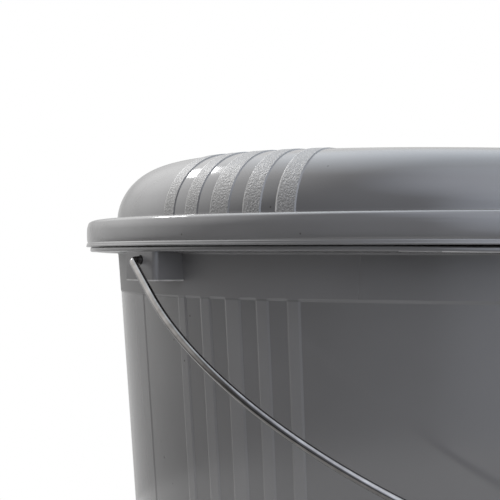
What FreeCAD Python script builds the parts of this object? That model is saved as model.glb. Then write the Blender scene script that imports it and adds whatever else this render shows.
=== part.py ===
import FreeCAD, Part
import os
import re
import Sketcher

# Round plastic pail with a domed lid and a wire bail.
# Millimetres, +Z up. The origin is the centre of the foot ring's underside,
# the lugs lie on the X axis and the bail hangs in front, towards -Y.

SIZES = [
    # bucket wall and floor
    ("rim_radius", 143.4, "outer radius of the wall above the flange"),
    ("step_inset", 1.25, "how much narrower the wall is at the step under its neck"),
    ("foot_inset", 16.65, "how much narrower again, carried down to the table"),
    ("neck_height", 13.9, "height of the plain neck from the step to the flange"),
    ("wall", 2.0, "wall thickness"),
    ("floor_thickness", 2.4, "floor thickness"),
    ("foot_rise", 3.0, "height of the floor's underside above the table"),
    ("foot_width", 4.0, "width of the foot ring"),
    ("foot_corner", 4.0, "outer corner radius at the foot"),
    ("floor_corner", 6.0, "inner corner radius at the floor"),
    # rim
    ("rim_rise", 7.5, "rim's top above the flange's top"),
    ("flange_height", 248.0, "height of the flange's top"),
    ("flange_width", 10.1, "how far the flange stands out from the rim"),
    ("flange_thickness", 1.7, "flange thickness"),
    # shallow panels in the wall
    ("panel_recess", 0.35, "depth of the panels beside and between the lugs"),
    ("back_recess", 0.15, "depth of the plain panel round the back"),
    ("panel_bottom", 14.0, "height of the panels' lower edge"),
    # lugs that carry the bail
    ("lug_inset", 0.5, "how far a lug's outer face lies inside the flange's edge"),
    ("lug_width", 18.0, "width of a lug"),
    ("lug_height", 8.2, "height of a lug below the flange"),
    ("lug_wall", 2.0, "wall thickness of a lug"),
    ("lug_root", 1.2, "plastic left outside the neck in a lug's pocket"),
    ("pivot_drop", 2.3, "bail holes below the flange's underside"),
    ("hole_play", 0.6, "how much wider than the wire the bail holes are"),
    # lid
    ("seat_gap", 0.3, "gap between parts that rest on each other"),
    ("lid_wall", 2.0, "lid thickness"),
    ("dome_offset", 0.2, "how far the dome's foot stands outside the rim"),
    ("crown_rise", 22.2, "crown above the ledge"),
    ("arch_radius", 2100.0, "radius of the arch over the dome, about an axis along X"),
    ("shoulder_radius", 22.0, "rounding of the dome's shoulder"),
    ("ledge_round", 1.5, "rounding of the ledge's outer edge"),
    ("skirt_lead", 0.5, "how far the skirt's upper edge overhangs the flange"),
    ("skirt_overhang", 1.5, "how far the bead at the skirt's lower edge overhangs the flange"),
    ("skirt_gap", 0.7, "gap between the skirt and the flange"),
    ("bead_height", 1.7, "height of that bead"),
    ("bead_proud", 0.3, "how far the bead stands out from the skirt"),
    ("plug_gap", 0.8, "gap between the plug ring and the bucket's mouth"),
    ("plug_wall", 1.5, "thickness of the plug ring"),
    ("plug_depth", 7.0, "depth of the plug ring below the rim's top"),
    ("band_relief", 0.3, "height of the grained bands on the dome"),
    ("band_length", 51.6, "how far the bands reach in over the dome"),
    # wire bail
    ("wire_diameter", 2.5, "bail wire"),
    ("leg_gap", 3.1, "middle of a leg at the pivot line from the lug's outer face"),
    ("bail_splay", 8.5, "angle in degrees at which the legs open"),
    ("leg_length", 21.8, "straight length of a leg"),
    ("side_bend_radius", 141.5, "radius of the bail's sides"),
    ("side_angle", 38.0, "angle in degrees where the side bend gives way to the shoulder"),
    ("end_bend_radius", 2.4, "radius of the bend into the lug"),
    ("end_reach", 7.4, "length of wire behind a lug's outer face"),
    # hand grip
    ("grip_radius", 9.5, "radius of the grip"),
    ("grip_length", 92.0, "length of the grip"),
    ("grip_play", 0.5, "how much wider than the wire the grip's bore is"),
    ("collar_proud", 0.7, "how far the end collars stand out from the grip"),
    ("collar_width", 5.0, "width of an end collar"),
    ("collar_round", 1.2, "rounding of the collars"),
    ("straight_spare", 4.0, "straight wire left beyond each end of the grip"),
    # construction
    ("overrun", 1.0, "how far a cut runs past what it cuts"),
]
NAMES = [name for name, value, note in SIZES]

# Angles in degrees from the middle of a lug towards the front.
PANEL_ANGLES = [(-8.8, 1.9), (3.6, 6.9), (8.8, 11.7), (14.2, 16.9), (18.7, 21.6)]
FRONT_PANEL_START = 23.3
BAND_ANGLES = [(-0.6, 2.0), (4.5, 7.15), (9.6, 12.95), (15.3, 18.05), (20.35, 23.15)]
QUARTER, HALF, FULL = 90.0, 180.0, 360.0

# Places that follow from the sizes, as expressions on the sheet's cells.
STEP_RADIUS = "(rim_radius - step_inset)"
BASE_RADIUS = f"({STEP_RADIUS} - foot_inset)"
FLANGE_RADIUS = "(rim_radius + flange_width)"
FLANGE_UNDER = "(flange_height - flange_thickness)"
STEP_HEIGHT = f"({FLANGE_UNDER} - neck_height)"
TAPER = f"(foot_inset / {STEP_HEIGHT})"
NECK_RADIUS = f"({STEP_RADIUS} + {TAPER} * neck_height)"
RIM_TOP = "(flange_height + rim_rise)"
LUG_RADIUS = f"({FLANGE_RADIUS} - lug_inset)"
LUG_BOTTOM = f"({FLANGE_UNDER} - lug_height)"
PIVOT = f"({FLANGE_UNDER} - pivot_drop)"
LEDGE_UNDER = f"({RIM_TOP} + seat_gap)"
LEDGE_TOP = f"({LEDGE_UNDER} + lid_wall)"
SKIRT_BOTTOM = "(flange_height + skirt_gap)"
SKIRT_TOP_RADIUS = f"({FLANGE_RADIUS} + skirt_lead)"
SKIRT_RADIUS = f"({FLANGE_RADIUS} + skirt_overhang)"
PLUG_RADIUS = "(rim_radius - wall - plug_gap)"
DOME_RADIUS = "(rim_radius + dome_offset)"
CROWN = f"({LEDGE_TOP} + crown_rise)"

# The bail's outline in its own plane: x from the middle, y from the pivot line.
BAIL_HALF = f"({LUG_RADIUS} + leg_gap)"
MIDDLE_HALF = "(grip_length / 2 + straight_spare)"
SIDE_START = (
    f"({BAIL_HALF} + leg_length * sin(bail_splay))",
    "(leg_length * cos(bail_splay))",
)
SIDE_CENTRE = (
    f"({SIDE_START[0]} - side_bend_radius * cos(bail_splay))",
    f"({SIDE_START[1]} + side_bend_radius * sin(bail_splay))",
)
RADIUS_STEP = f"(({MIDDLE_HALF} - {SIDE_CENTRE[0]}) / cos(side_angle))"
SHOULDER_BEND = f"(side_bend_radius - {RADIUS_STEP})"
SIDE_END = (
    f"({SIDE_CENTRE[0]} + side_bend_radius * cos(side_angle))",
    f"({SIDE_CENTRE[1]} + side_bend_radius * sin(side_angle))",
)
BAIL_DEPTH = f"({SIDE_CENTRE[1]} + {RADIUS_STEP} * sin(side_angle) + {SHOULDER_BEND})"
END_TANGENT = "(end_bend_radius * tan((90 - bail_splay) / 2))"

# The bail hangs until its grip all but touches the front panel.
TAPER_ANGLE = f"atan({TAPER})"
PANEL_REACH = f"({BASE_RADIUS} + {TAPER} * {PIVOT} - panel_recess)"
WALL_REACH = f"({PANEL_REACH} * cos({TAPER_ANGLE}) + grip_radius + seat_gap)"
BAIL_DROP = f"({TAPER_ANGLE} + acos({WALL_REACH} / {BAIL_DEPTH}))"


def cells(text):
    """Turns size names in an expression into references to the sheet."""
    return re.sub(r"[a-z_]+", lambda m: "Sizes." + m[0] if m[0] in NAMES else m[0], text)


def make_sheet(doc):
    sheet = doc.addObject("Spreadsheet::Sheet", "Sizes")
    for row, (name, value, note) in enumerate(SIZES, start=1):
        sheet.set(f"A{row}", name)
        sheet.set(f"B{row}", str(value))
        sheet.set(f"C{row}", note)
        sheet.setAlias(f"B{row}", name)
    doc.recompute()
    return sheet


def number(doc, text):
    """The present value of an expression, for a sketch's first guess."""
    return float(doc.getObject("Sizes").evalExpression(text))


def bind(thing, **expressions):
    for path, text in expressions.items():
        thing.setExpression(path.replace("__", "."), cells(text))


def attach(sketch, body, role, turn=None, lift=None):
    """Lays a sketch on one of its body's planes, turned about Z and lifted off the plane."""
    plane = [f for f in body.Origin.OriginFeatures if f.Role == role][0]
    sketch.AttachmentSupport = [(plane, "")]
    sketch.MapMode = "FlatFace"
    if turn is not None:
        axis = FreeCAD.Vector(0, 0, 1) if role == "XY_Plane" else FreeCAD.Vector(0, 1, 0)
        sketch.AttachmentOffset = FreeCAD.Placement(FreeCAD.Vector(), FreeCAD.Rotation(axis, turn))
    if lift is not None:
        bind(sketch, AttachmentOffset__Base__z=lift)


def pin_point(sketch, edge, end, x, y):
    """Ties the end of an edge to a place given by two expressions."""
    for kind, text, axis in (("DistanceX", x, -2), ("DistanceY", y, -1)):
        if text == "0":
            sketch.addConstraint(Sketcher.Constraint("PointOnObject", edge, end, axis))
            continue
        value = number(sketch.Document, text)
        index = sketch.addConstraint(Sketcher.Constraint(kind, -1, 1, edge, end, value))
        sketch.setExpression(f"Constraints[{index}]", cells(text))


def arc_between(start, end, radius, turn):
    """Arc of under half a circle from start to end, turning left for 1 and right for -1."""
    chord = end - start
    middle = (start + end) / 2
    rise = max(radius**2 - (chord.Length / 2) ** 2, 0) ** 0.5
    normal = FreeCAD.Vector(-chord.y, chord.x, 0).normalize()
    centre = middle + normal * rise * turn
    top = centre - normal * radius * turn
    return Part.Arc(start, top, end) if turn > 0 else Part.Arc(end, top, start)


def draw(sketch, points, closed=True):
    """Draws lines and arcs through points of two expressions each.
    A point with a third and fourth item ends an arc of that radius and turn."""
    doc = sketch.Document
    places = [FreeCAD.Vector(number(doc, p[0]), number(doc, p[1]), 0) for p in points]
    count = len(points) if closed else len(points) - 1
    for i in range(count):
        target = points[(i + 1) % len(points)]
        start, end = places[i], places[(i + 1) % len(points)]
        first = 1
        if len(target) == 2:
            sketch.addGeometry(Part.LineSegment(start, end), False)
        else:
            arc = arc_between(start, end, number(doc, target[2]), target[3])
            sketch.addGeometry(arc, False)
            first = 1 if target[3] > 0 else 2
        pin_point(sketch, i, first, points[i][0], points[i][1])
        if i == count - 1 and not closed:
            pin_point(sketch, i, 3 - first, target[0], target[1])
        if len(target) > 2:
            index = sketch.addConstraint(Sketcher.Constraint("Radius", i, number(doc, target[2])))
            sketch.setExpression(f"Constraints[{index}]", cells(target[2]))
    join_edges(sketch, count, closed)


def join_edges(sketch, count, closed):
    """Makes the last point of each edge coincide with the first of the next."""
    for i in range(count if closed else count - 1):
        follower = (i + 1) % count
        pair = nearest_ends(sketch.Geometry[i], sketch.Geometry[follower])
        sketch.addConstraint(Sketcher.Constraint("Coincident", i, pair[0], follower, pair[1]))


def nearest_ends(one, other):
    ends = [(1, one.StartPoint), (2, one.EndPoint)]
    others = [(1, other.StartPoint), (2, other.EndPoint)]
    gaps = [((a - b).Length, i, j) for i, a in ends for j, b in others]
    return min(gaps)[1:]


def new_sketch(body, name, role, points, turn=None, lift=None, closed=True):
    sketch = body.newObject("Sketcher::SketchObject", name)
    attach(sketch, body, role, turn, lift)
    draw(sketch, points, closed)
    return sketch


def new_body(doc, label):
    body = doc.addObject("PartDesign::Body", label)
    body.Label = label
    return body


def revolve(body, name, sketch):
    """Full turn of a sketch about its own vertical axis."""
    feature = body.newObject("PartDesign::Revolution", name)
    feature.Profile = sketch
    feature.ReferenceAxis = (sketch, ["V_Axis"])
    feature.Angle = FULL
    return feature


def wall_at(height):
    return f"({BASE_RADIUS} + {TAPER} * {height})"


def bucket_profile():
    """Half section of the bucket, from the floor's underside round to its upper side."""
    foot_outer = f"({BASE_RADIUS} - foot_corner)"
    foot_inner = f"({foot_outer} - foot_width)"
    half_flange = "(flange_thickness / 2)"
    rim_round = "(wall / 2)"
    floor_top = "(foot_rise + floor_thickness)"
    corner_top = f"({floor_top} + floor_corner)"
    return [
        ("0", "foot_rise"),
        (foot_inner, "foot_rise"),
        (foot_inner, "0"),
        (foot_outer, "0"),
        (wall_at("foot_corner"), "foot_corner", "foot_corner", 1),
        (STEP_RADIUS, STEP_HEIGHT),
        (NECK_RADIUS, FLANGE_UNDER),
        (f"({FLANGE_RADIUS} - {half_flange})", FLANGE_UNDER),
        (FLANGE_RADIUS, f"(flange_height - {half_flange})", half_flange, 1),
        (f"({FLANGE_RADIUS} - {half_flange})", "flange_height", half_flange, 1),
        ("rim_radius", "flange_height"),
        ("rim_radius", f"({RIM_TOP} - {rim_round})"),
        (f"(rim_radius - {rim_round})", RIM_TOP, rim_round, 1),
        ("(rim_radius - wall)", f"({RIM_TOP} - {rim_round})", rim_round, 1),
        (f"({STEP_RADIUS} - wall)", STEP_HEIGHT),
        (f"({wall_at(corner_top)} - wall)", corner_top),
        (f"({wall_at(corner_top)} - wall - floor_corner)", floor_top, "floor_corner", -1),
        ("0", floor_top),
    ]


def panel_section(recess):
    """What a panel takes off the wall: a sliver along the wall as deep as the recess."""
    outside = f"({STEP_RADIUS} + overrun)"
    return [
        (f"({wall_at('panel_bottom')} - {recess})", "panel_bottom"),
        (outside, "panel_bottom"),
        (outside, STEP_HEIGHT),
        (f"({STEP_RADIUS} - {recess})", STEP_HEIGHT),
    ]


def cut_panel(body, name, start, end, recess):
    """Shallow panel in the wall between two angles about Z."""
    sketch = new_sketch(body, name + "_section", "XZ_Plane", panel_section(recess), turn=start)
    groove = body.newObject("PartDesign::Groove", name)
    groove.Profile = sketch
    groove.ReferenceAxis = (sketch, ["V_Axis"])
    groove.Angle = end - start
    groove.Reversed = False


def cut_panels(body):
    """Panels beside each lug, mirrored about the front, one wide one in front and one behind."""
    for number_of, (near, far) in enumerate(PANEL_ANGLES, start=1):
        cut_panel(body, f"right_panel_{number_of}", -far, -near, "panel_recess")
        cut_panel(body, f"left_panel_{number_of}", HALF + near, HALF + far, "panel_recess")
    front_end = HALF + FRONT_PANEL_START
    cut_panel(body, "front_panel", front_end, FULL - FRONT_PANEL_START, "panel_recess")
    back_start = -PANEL_ANGLES[0][0]
    cut_panel(body, "back_panel", back_start, HALF - back_start, "back_recess")


def box_points(inner, outer, width):
    return [
        (inner, f"(-{width} / 2)"),
        (outer, f"(-{width} / 2)"),
        (outer, f"({width} / 2)"),
        (inner, f"({width} / 2)"),
    ]


def add_lug(body, side, turn):
    """Box under the flange, open below, with a hole for the wire in its outer face."""
    block = new_sketch(
        body,
        side + "_lug_plan",
        "XY_Plane",
        box_points(f"({STEP_RADIUS} - wall / 2)", LUG_RADIUS, "lug_width"),
        turn=turn,
        lift=LUG_BOTTOM,
    )
    pad = body.newObject("PartDesign::Pad", side + "_lug")
    pad.Profile = block
    bind(pad, Length="lug_height + flange_thickness / 2")
    pocket_inner = f"({NECK_RADIUS} + lug_root)"
    hollow = new_sketch(
        body,
        side + "_pocket_plan",
        "XY_Plane",
        box_points(pocket_inner, f"({LUG_RADIUS} - lug_wall)", "(lug_width - 2 * lug_wall)"),
        turn=turn,
        lift=f"{LUG_BOTTOM} - overrun",
    )
    pocket = body.newObject("PartDesign::Pocket", side + "_pocket")
    pocket.Profile = hollow
    pocket.Reversed = True
    bind(pocket, Length="lug_height + overrun - flange_thickness / 4")
    cut_wire_hole(body, side, turn)


def cut_wire_hole(body, side, turn):
    """Round hole through a lug's outer face; half a turn puts its sketch on the other side."""
    sketch = body.newObject("Sketcher::SketchObject", side + "_hole_plan")
    sign = "-1 * " if turn == HALF else ""
    attach(sketch, body, "YZ_Plane", turn, f"{sign}({LUG_RADIUS} - lug_wall - overrun)")
    radius = number(body.Document, "(wire_diameter + hole_play) / 2")
    centre = FreeCAD.Vector(0, number(body.Document, PIVOT), 0)
    sketch.addGeometry(Part.Circle(centre, FreeCAD.Vector(0, 0, 1), radius), False)
    pin_point(sketch, 0, 3, "0", PIVOT)
    index = sketch.addConstraint(Sketcher.Constraint("Diameter", 0, 2 * radius))
    sketch.setExpression(f"Constraints[{index}]", cells("wire_diameter + hole_play"))
    hole = body.newObject("PartDesign::Pocket", side + "_hole")
    hole.Profile = sketch
    hole.Reversed = True
    bind(hole, Length="lug_wall + 2 * overrun")


def make_bucket(doc):
    body = new_body(doc, "bucket_body")
    revolve(body, "shell", new_sketch(body, "shell_section", "XZ_Plane", bucket_profile()))
    cut_panels(body)
    add_lug(body, "right", 0)
    add_lug(body, "left", HALF)
    return body


def lid_ring_profile():
    """Section of the ledge with the skirt outside and the plug ring inside."""
    plug_inner = f"({PLUG_RADIUS} - plug_wall)"
    plug_bottom = f"({RIM_TOP} - plug_depth)"
    face_radius = f"({SKIRT_RADIUS} - bead_proud)"
    bead_top = f"({SKIRT_BOTTOM} + bead_height)"
    return [
        (plug_inner, plug_bottom),
        (PLUG_RADIUS, plug_bottom),
        (PLUG_RADIUS, LEDGE_UNDER),
        (f"({SKIRT_TOP_RADIUS} - lid_wall)", LEDGE_UNDER),
        (f"({face_radius} - lid_wall)", SKIRT_BOTTOM),
        (face_radius, SKIRT_BOTTOM),
        (SKIRT_RADIUS, f"({SKIRT_BOTTOM} + bead_proud)", "bead_proud", 1),
        (SKIRT_RADIUS, f"({bead_top} - bead_proud)"),
        (face_radius, bead_top, "bead_proud", 1),
        (SKIRT_TOP_RADIUS, f"({LEDGE_TOP} - ledge_round)"),
        (f"({SKIRT_TOP_RADIUS} - ledge_round)", LEDGE_TOP, "ledge_round", 1),
        (plug_inner, LEDGE_TOP),
    ]


def cylinder(doc, name, radius, height, lift):
    shape = doc.addObject("Part::Cylinder", name)
    bind(shape, Radius=radius, Height=height, Placement__Base__z=lift)
    return shape


def combine(doc, kind, name, first, others):
    """Cut, common part or union of shapes, with every face kept as it was drawn."""
    shape = doc.addObject(kind, name)
    if kind == "Part::MultiFuse":
        shape.Shapes = [first] + others
    else:
        shape.Base, shape.Tool = first, others[0]
    shape.Refine = False
    return shape


def arched_dome(doc, name, radius, crown, arch, shoulder):
    """Disc cut to an arch on top, with its upper edge rounded. It starts a shoulder below the ledge."""
    height = f"{CROWN} - {LEDGE_UNDER} + shoulder_radius + 2 * overrun"
    disc = cylinder(doc, name + "_disc", radius, height, f"{LEDGE_UNDER} - shoulder_radius")
    disc.Placement.Rotation = FreeCAD.Rotation(FreeCAD.Vector(0, 0, 1), QUARTER)
    arch_roll = doc.addObject("Part::Cylinder", name + "_arch")
    arch_roll.Placement.Rotation = FreeCAD.Rotation(FreeCAD.Vector(0, 1, 0), QUARTER)
    bind(
        arch_roll,
        Radius=arch,
        Height=f"2 * ({radius} + overrun)",
        Placement__Base__x=f"-({radius} + overrun)",
        Placement__Base__z=f"{crown} - {arch}",
    )
    blank = combine(doc, "Part::Common", name + "_blank", disc, [arch_roll])
    doc.recompute()
    rounded = doc.addObject("Part::Fillet", name)
    rounded.Base = blank
    size = number(doc, shoulder)
    lowest = number(doc, LEDGE_UNDER)
    tops = [i for i, edge in enumerate(blank.Shape.Edges, start=1) if edge.BoundBox.ZMin > lowest]
    rounded.Edges = [(i, size, size) for i in tops]
    return rounded


def make_bands(doc):
    """Raised bands up the dome, in front of and behind the middle of each lug."""
    skin = arched_dome(
        doc,
        "band_skin",
        f"({DOME_RADIUS} + band_relief)",
        f"({CROWN} + band_relief)",
        "(arch_radius + band_relief)",
        "(shoulder_radius + band_relief)",
    )
    wedges = []
    for count, (near, far) in enumerate(BAND_ANGLES, start=1):
        for side, start in (("right", -far), ("left", HALF + near)):
            wedge = cylinder(doc, f"{side}_wedge_{count}", SKIRT_RADIUS, CROWN, f"{LEDGE_TOP} - lid_wall / 2")
            wedge.Angle = far - near
            wedge.Placement.Rotation = FreeCAD.Rotation(FreeCAD.Vector(0, 0, 1), start)
            wedges.append(wedge)
    fan = combine(doc, "Part::MultiFuse", "band_fan", wedges[0], wedges[1:])
    core_radius = f"({DOME_RADIUS} - band_length)"
    core = cylinder(doc, "band_core", core_radius, f"{CROWN} + overrun", f"{LEDGE_UNDER} - overrun")
    ring = combine(doc, "Part::Cut", "band_ring", fan, [core])
    return combine(doc, "Part::Common", "bands", skin, [ring])


def make_lid(doc):
    section = doc.addObject("Sketcher::SketchObject", "lid_ring_section")
    section.Placement.Rotation = FreeCAD.Rotation(FreeCAD.Vector(1, 0, 0), QUARTER)
    draw(section, lid_ring_profile())
    ring = doc.addObject("Part::Revolution", "lid_ring")
    ring.Source = section
    ring.Axis = FreeCAD.Vector(0, 0, 1)
    ring.Angle = FULL
    ring.Solid = True
    outer = arched_dome(doc, "dome_outer", DOME_RADIUS, CROWN, "arch_radius", "shoulder_radius")
    inner = arched_dome(
        doc,
        "dome_inner",
        f"({DOME_RADIUS} - lid_wall)",
        f"({CROWN} - lid_wall)",
        "(arch_radius - lid_wall)",
        "(shoulder_radius - lid_wall)",
    )
    banded = combine(doc, "Part::MultiFuse", "dome_banded", outer, [make_bands(doc)])
    shell = combine(doc, "Part::Cut", "dome_shell", banded, [inner])
    above = cylinder(doc, "above_ledge", SKIRT_RADIUS, CROWN, LEDGE_UNDER)
    crown = combine(doc, "Part::Common", "dome_crown", shell, [above])
    lid = combine(doc, "Part::MultiFuse", "lid", ring, [crown])
    lid.Label = "lid"
    return lid


def hang(thing):
    """Turns the wire from the plane it was drawn in down to where the bail hangs."""
    half_turn = FreeCAD.Rotation(FreeCAD.Vector(1, 0, 0), HALF)
    thing.Placement = FreeCAD.Placement(FreeCAD.Vector(), half_turn)
    bind(thing, Placement__Rotation__Angle=f"180 deg + {BAIL_DROP}", Placement__Base__z=PIVOT)


def make_bail(doc):
    """Half of the wire along its outline, mirrored about the middle."""
    body = new_body(doc, "bail_wire")
    outline = [
        ("0", BAIL_DEPTH),
        (MIDDLE_HALF, BAIL_DEPTH),
        (SIDE_END[0], SIDE_END[1], SHOULDER_BEND, -1),
        (SIDE_START[0], SIDE_START[1], "side_bend_radius", -1),
        (f"({BAIL_HALF} + {END_TANGENT} * sin(bail_splay))", f"({END_TANGENT} * cos(bail_splay))"),
        (f"({BAIL_HALF} - {END_TANGENT})", "0", "end_bend_radius", -1),
        (f"({LUG_RADIUS} - end_reach)", "0"),
    ]
    path = new_sketch(body, "bail_path", "XY_Plane", outline, closed=False)
    section = body.newObject("Sketcher::SketchObject", "wire_section")
    attach(section, body, "YZ_Plane")
    radius = number(doc, "wire_diameter / 2")
    centre = FreeCAD.Vector(number(doc, BAIL_DEPTH), 0, 0)
    section.addGeometry(Part.Circle(centre, FreeCAD.Vector(0, 0, 1), radius), False)
    pin_point(section, 0, 3, BAIL_DEPTH, "0")
    index = section.addConstraint(Sketcher.Constraint("Diameter", 0, 2 * radius))
    section.setExpression(f"Constraints[{index}]", cells("wire_diameter"))
    doc.recompute()
    pipe = body.newObject("PartDesign::AdditivePipe", "half_wire")
    pipe.Profile = section
    pipe.Spine = path
    doc.recompute()
    whole = body.newObject("PartDesign::Mirrored", "whole_wire")
    whole.Originals = [pipe]
    whole.MirrorPlane = ([f for f in body.Origin.OriginFeatures if f.Role == "YZ_Plane"][0], [""])
    body.Tip = whole
    hang(body)
    return body


def make_grip(doc):
    """Plastic tube on the wire's straight middle, with a collar at each end."""
    body = new_body(doc, "bail_grip")
    bore = "((wire_diameter + grip_play) / 2)"
    collar = "(grip_radius + collar_proud)"
    profile = [
        (bore, "0"),
        (f"({collar} - collar_round)", "0"),
        (collar, "collar_round", "collar_round", 1),
        (collar, "(collar_width - collar_round)"),
        ("grip_radius", "collar_width"),
        ("grip_radius", "(grip_length - collar_width)"),
        (collar, "(grip_length - collar_width + collar_round)"),
        (collar, "(grip_length - collar_round)"),
        (f"({collar} - collar_round)", "grip_length", "collar_round", 1),
        (bore, "grip_length"),
    ]
    revolve(body, "tube", new_sketch(body, "tube_section", "XZ_Plane", profile))
    turn_along_x = FreeCAD.Rotation(FreeCAD.Vector(0, 1, 0), QUARTER)
    body.Placement = FreeCAD.Placement(FreeCAD.Vector(), turn_along_x)
    bind(
        body,
        Placement__Base__x="-grip_length / 2",
        Placement__Base__y=f"-{BAIL_DEPTH} * cos({BAIL_DROP})",
        Placement__Base__z=f"{PIVOT} - {BAIL_DEPTH} * sin({BAIL_DROP})",
    )
    return body


def check(doc, parts):
    for thing in doc.Objects:
        states = set(thing.State)
        if states & {"Invalid", "Error"}:
            raise RuntimeError(f"{thing.Label} did not build: {thing.State}")
    for part in parts:
        if part.Shape.isNull() or not part.Shape.isValid():
            raise RuntimeError(f"{part.Label} has no valid shape")


def main():
    doc = FreeCAD.newDocument("pail")
    make_sheet(doc)
    parts = [make_bucket(doc), make_lid(doc), make_bail(doc), make_grip(doc)]
    doc.recompute()
    check(doc, parts)
    os.makedirs("parts", exist_ok=True)
    for part in parts:
        part.Shape.exportStep(f"parts/{part.Label}.step")
        box = part.Shape.BoundBox
        print(part.Label, len(part.Shape.Solids), round(part.Shape.Volume), box)
    print("bail drop", number(doc, BAIL_DROP), "depth", number(doc, BAIL_DEPTH))


main()
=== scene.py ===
import math

import bmesh
import bpy
from mathutils import Matrix, Vector


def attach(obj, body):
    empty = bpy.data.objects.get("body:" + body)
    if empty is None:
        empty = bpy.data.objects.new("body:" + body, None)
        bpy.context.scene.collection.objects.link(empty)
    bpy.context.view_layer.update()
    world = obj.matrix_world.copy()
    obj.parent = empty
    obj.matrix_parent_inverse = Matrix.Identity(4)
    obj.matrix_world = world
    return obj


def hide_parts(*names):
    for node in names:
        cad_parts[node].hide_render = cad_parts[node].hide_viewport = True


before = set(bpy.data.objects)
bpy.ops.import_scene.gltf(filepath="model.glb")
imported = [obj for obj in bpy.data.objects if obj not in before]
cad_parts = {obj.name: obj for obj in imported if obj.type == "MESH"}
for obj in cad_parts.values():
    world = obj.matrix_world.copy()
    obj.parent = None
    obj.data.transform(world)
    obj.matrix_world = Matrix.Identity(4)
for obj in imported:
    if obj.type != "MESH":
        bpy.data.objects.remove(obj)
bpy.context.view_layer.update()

# Round grey pail with a domed lid and a wire bail. Sizes are in millimetres,
# angles in degrees. The lugs lie on the X axis and the bail hangs towards -Y.

MM = 0.001

# Bucket
BASE_RADIUS = 125.5
STEP_RADIUS = 142.15
STEP_HEIGHT = 232.4
WALL = 2.0
FLOOR_UNDER = 3.0
FLOOR_TOP = 5.4
FLOOR_CORNER = 6.0
FLOOR_RING = 60.0
FLOOR_RING_RISE = 0.3
GATE_SINK = 0.4
FOOT_INNER = 117.5
FOOT_FILLET = 1.3
FOOT_ROUND = 0.8
HEEL_ROUND = 4.0
RIM_RADIUS = 143.4
RIM_FOOT = 251.0
RIM_TOP = 255.5
RIM_ROUND = 1.0
FLANGE_RADIUS = 153.5
FLANGE_TOP = 248.0
FLANGE_UNDER = 246.3
FLANGE_FILLET = 0.7
FLANGE_ROUND = 0.55
FLANGE_BEND = 148.0
FLANGE_LIFT = 0.4
LIFT_START = 0.69
LIFT_SPAN = 0.16
PANEL_RECESS = 0.35
BACK_RECESS = 0.15
PANEL_BOTTOM = 14.0
PANEL_MIDDLE = 130.0

# Lugs, from their inner end to their face and from their front to their rear side
LUG_INNER = 141.7
LUG_FACE = 153.0
LUG_FRONT = 9.0
LUG_REAR = 10.2
LUG_BOTTOM = 237.3
LUG_TOP = 247.2
LUG_FRONT_ROUND = 1.9
LUG_REAR_ROUND = 0.6
LUG_FOOT_ROUND = 0.45
LUG_WALL = 2.0
LUG_BACK = 2.7
LUG_ROOF = 1.4
LUG_HOLE = 1.55

# Lid
LEDGE_UNDER = 255.8
LEDGE_TOP = 258.1
LEDGE_EDGE = 151.6
LEDGE_ROUND_OUT = 2.72
LEDGE_ROUND_UP = 1.5
SKIRT_BOTTOM = 248.5
BEAD_RADIUS = 155.0
BEAD_ROUND = 0.3
PLUG_RADIUS = 140.6
PLUG_INNER = 139.1
PLUG_BOTTOM = 248.5
PLUG_ROUND = 0.5
DOME_RADIUS = 143.6
DOME_FOOT = 257.8
DOME_FILLET = 0.35
SHOULDER = 21.0
CROWN_RADIUS = DOME_RADIUS - SHOULDER
CROWN_LIFT = 0.5
ARCH_SHARE = 0.154
LID_WALL = 2.0
BAND_RELIEF = 0.3
BAND_INNER = 92.0

# Outside of the skirt, as places in from the bead's reach and up from its bottom: the two lines
# with a groove between them, then the nearly upright face.
SKIRT_LINES = [(0.02, 0.48), (0.06, 0.56), (0.17, 0.76), (0.2, 0.86), (0.2, 1.1)]
SKIRT_LINES += [(0.22, 1.18), (0.28, 1.27), (0.48, 1.48), (0.51, 1.56), (0.48, 1.7)]
SKIRT_FACE = [(0.34, 2.2), (0.26, 2.9), (0.22, 4.1), (0.23, 5.9), (0.3, 6.9), (0.5, 7.65)]

# Bail
PIVOT_HEIGHT = 244.0
BAIL_DROP = 29.9935
WIRE_RADIUS = 1.25
WIRE_SIDES = 24
WIRE_CHAMFER = 0.84
WIRE_END = 145.6
LEG_FOOT = 156.1
LEG_SPLAY = 8.5
LEG_LENGTH = 21.8
SIDE_BEND = 141.5
SIDE_ANGLE = 38.0
MIDDLE_HALF = 50.0
END_BEND = 2.4

# Grip
GRIP_RADIUS = 9.5
GRIP_HALF = 46.0
GRIP_BORE = 1.5
GRIP_RIBS = 20
RIB_RISE = 0.6
RIB_HALF_ANGLE = 7.0
COLLAR_RADIUS = 10.2
COLLAR_WIDTH = 5.0
COLLAR_ROUND = 1.2
COLLAR_FILLET = 0.8

# The wall's panels and the lid's bands, as angles from the middle of a lug towards the front.
PANELS = [(-8.8, 1.9), (3.6, 6.9), (8.8, 11.7), (14.2, 16.9), (18.7, 21.6)]
FRONT_START = 23.3
BANDS = [(-0.6, 2.0), (4.5, 7.15), (9.6, 12.95), (15.3, 18.05), (20.35, 23.15)]

# Columns of faces round the axis, and the rows that keep an edge of a panel crisp.
WIDEST_COLUMN = 1.5
PANEL_SLOPE = 0.2
BAND_SLOPE = 0.18
EDGE_ROWS = (-0.6, -0.25, 0.25, 0.6)

# Camera: the angle between its side of the pail and the front, and its place, turn and lens.
CAMERA_SIDE = 43.4
CAMERA_DISTANCE = 513.4842
CAMERA_HEIGHT = 245.1287
CAMERA_YAW = 10.479
CAMERA_PITCH = 0.288
CAMERA_ROLL = 0.146
CAMERA_LENS = 94.803

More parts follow.
